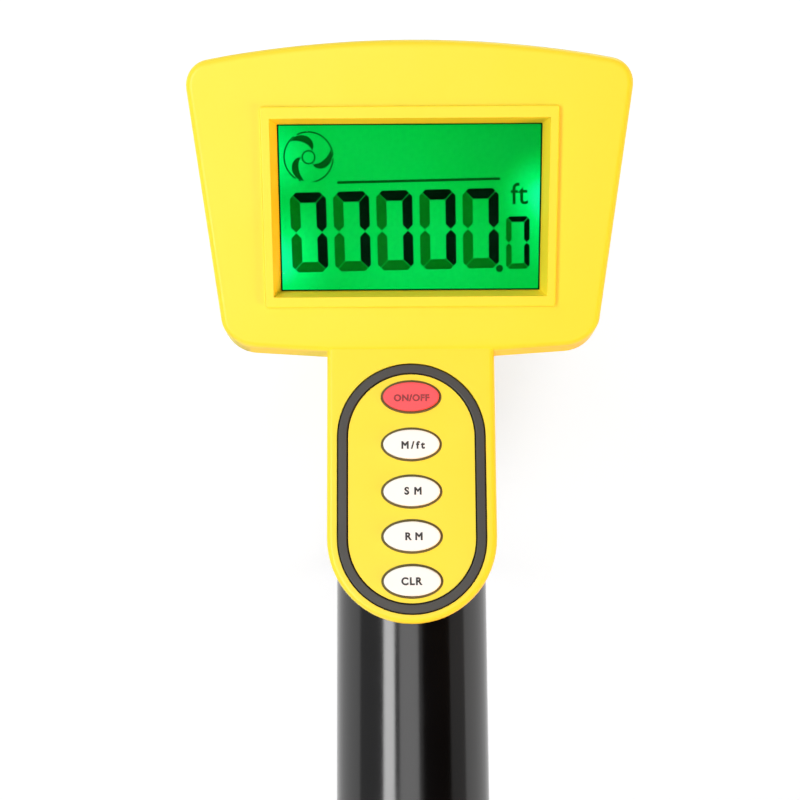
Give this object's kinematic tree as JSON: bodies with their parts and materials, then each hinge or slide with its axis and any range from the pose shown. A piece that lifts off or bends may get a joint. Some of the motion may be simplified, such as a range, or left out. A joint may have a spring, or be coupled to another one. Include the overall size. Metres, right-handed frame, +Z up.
{
  "type": "measuring wheel",
  "caption": "Road wheel on a fork and a telescoping pole, with a bent handle tube, a tilted display head, a keypad tongue and a fold-up stand.",
  "frame": {"origin": "the flat of the tyre that rests on the ground, under the axle", "axes": "+X along the axle to the right, +Y forwards away from the user, +Z up"},
  "size_m": [0.131, 0.5368, 0.9839],
  "materials": {
    "yellow_plastic": "satin moulded",
    "black_gloss": "polished",
    "black_plastic": "fine grain",
    "grey_plastic": "fine grain",
    "clear_window": "polished",
    "display_green": "smooth",
    "circuit_board": "solder mask",
    "white_rubber": "smooth",
    "red_rubber": "smooth",
    "black_rubber": "matt",
    "tyre_rubber": "treaded",
    "steel": "zinc plated",
    "dark_steel": "powder coated",
    "black_painted_metal": "gloss lacquer",
    "aluminium": "anodised",
    "brass": "machined",
    "cell_sleeve": "printed sleeve",
    "red_painted_metal": "gloss lacquer"
  },
  "bodies": {
    "frame": {"lower_pole": "black_painted_metal", "clamp_collar": "black_plastic", "fork_crown": "black_plastic", "sensor_housing": "black_plastic", "fork_leg_left": "dark_steel", "fork_leg_right": "dark_steel", "clamp_pin": "steel", "axle": "steel", "axle_nut_left": "steel", "axle_nut_right": "steel", "crown_bolt_left": "steel", "crown_bolt_right": "steel", "sensor_screw": "steel", "stand_pivot_left": "steel", "stand_pivot_right": "steel", "bearing_inner_left": "steel", "bearing_inner_right": "steel", "axle_spacer_left": "aluminium", "axle_spacer_right": "aluminium", "clamp_pad": "brass", "start_pointer": "red_painted_metal"},
    "wheel": {"wheel_disc": "yellow_plastic", "tyre": "tyre_rubber", "bearing_outer_left": "steel", "bearing_outer_right": "steel", "magnet_ring": "black_plastic"},
    "stand": {"stand_leg_left": "dark_steel", "stand_leg_right": "dark_steel", "stand_crossbar": "dark_steel", "stand_foot_left": "black_rubber", "stand_foot_right": "black_rubber"},
    "lever": {"clamp_lever": "black_plastic"},
    "handle": {"upper_pole": "aluminium", "handle_tube": "black_gloss", "grip_end_cap": "black_rubber", "keypad_mat": "black_rubber", "face_shell": "yellow_plastic", "back_shell": "yellow_plastic", "tongue_base": "black_plastic", "keypad_ring": "grey_plastic", "display_window": "clear_window", "display_panel": "display_green", "main_board": "circuit_board", "keypad_board": "circuit_board", "handle_screw": "steel", "case_screw_1": "steel", "case_screw_2": "steel", "case_screw_3": "steel", "case_screw_4": "steel", "battery_contact_left": "steel", "battery_contact_right": "steel", "battery_1": "cell_sleeve", "battery_2": "cell_sleeve", "battery_3": "cell_sleeve"},
    "battery_door": {"battery_cover": "black_plastic"},
    "power_button": {"power_key": "red_rubber"},
    "unit_button": {"unit_key": "white_rubber"},
    "store_button": {"store_key": "white_rubber"},
    "recall_button": {"recall_key": "white_rubber"},
    "clear_button": {"clear_key": "white_rubber"}
  },
  "joints": [
    {"name": "wheel_spin", "type": "hinge", "parent": "frame", "child": "wheel", "pos_m": [0, 0, 0.15915], "axis": [1, 0, 0], "continuous": true},
    {"name": "stand_fold", "type": "hinge", "parent": "frame", "child": "stand", "pos_m": [0, -0.03547, 0.19106], "axis": [-1, 0, 0], "range_deg": [0, 120]},
    {"name": "lever_swing", "type": "hinge", "parent": "frame", "child": "lever", "pos_m": [0.029, -0.12527, 0.62666], "axis": [0, -0.2588, 0.9659], "range_deg": [0, 110]},
    {"name": "pole_telescope", "type": "slide", "parent": "frame", "child": "handle", "axis": [0, -0.2588, 0.9659], "range_m": [-0.22, 0]},
    {"name": "battery_cover_slide", "type": "slide", "parent": "handle", "child": "battery_door", "axis": [0, 0.9205, 0.3907], "range_m": [0, 0.045]},
    {"name": "power_press", "type": "slide", "parent": "handle", "child": "power_button", "axis": [0, 0.0175, -0.9998], "range_m": [0, 0.0006], "stiffness_N_per_m": 1500, "springref_m": -0.0003},
    {"name": "unit_press", "type": "slide", "parent": "handle", "child": "unit_button", "axis": [0, 0.0175, -0.9998], "range_m": [0, 0.0006], "stiffness_N_per_m": 1500, "springref_m": -0.0003},
    {"name": "store_press", "type": "slide", "parent": "handle", "child": "store_button", "axis": [0, 0.0175, -0.9998], "range_m": [0, 0.0006], "stiffness_N_per_m": 1500, "springref_m": -0.0003},
    {"name": "recall_press", "type": "slide", "parent": "handle", "child": "recall_button", "axis": [0, 0.0175, -0.9998], "range_m": [0, 0.0006], "stiffness_N_per_m": 1500, "springref_m": -0.0003},
    {"name": "clear_press", "type": "slide", "parent": "handle", "child": "clear_button", "axis": [0, 0.0175, -0.9998], "range_m": [0, 0.0006], "stiffness_N_per_m": 1500, "springref_m": -0.0003}
  ]
}
